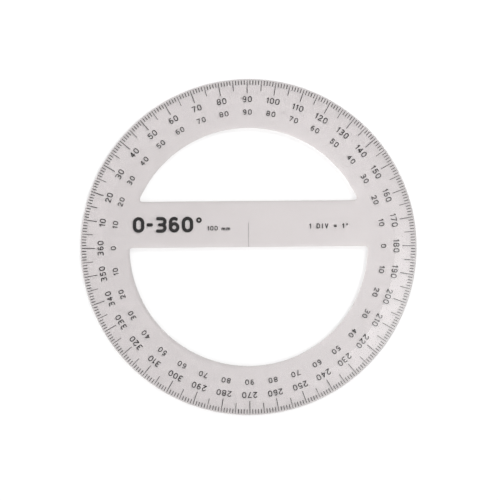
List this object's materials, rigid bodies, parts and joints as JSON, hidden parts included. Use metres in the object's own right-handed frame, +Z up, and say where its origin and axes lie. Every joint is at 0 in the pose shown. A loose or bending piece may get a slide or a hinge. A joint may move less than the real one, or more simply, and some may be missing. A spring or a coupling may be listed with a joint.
{
  "type": "full-circle protractor",
  "caption": "Clear plastic full-circle protractor: flat ring with a crossbar on its base line, bevelled rim, and degree scales filled in black underneath.",
  "frame": {"origin": "centre of the circle and of all the scales, on the surface that the protractor lies on", "axes": "+Z up out of the reading face; +X along the base line towards 180 on the outer scale; +Y towards 90"},
  "size_m": [0.1, 0.1, 0.0015],
  "materials": {
    "clear_plastic": "gloss",
    "black_ink": "satin"
  },
  "bodies": {
    "root": {"protractor_body": "clear_plastic", "one_degree_ticks": "black_ink", "five_degree_ticks": "black_ink", "ten_degree_ticks": "black_ink", "outer_scale_numerals": "black_ink", "inner_scale_numerals": "black_ink", "centre_line": "black_ink", "scale_title": "black_ink", "size_note": "black_ink", "division_note": "black_ink"}
  },
  "joints": []
}
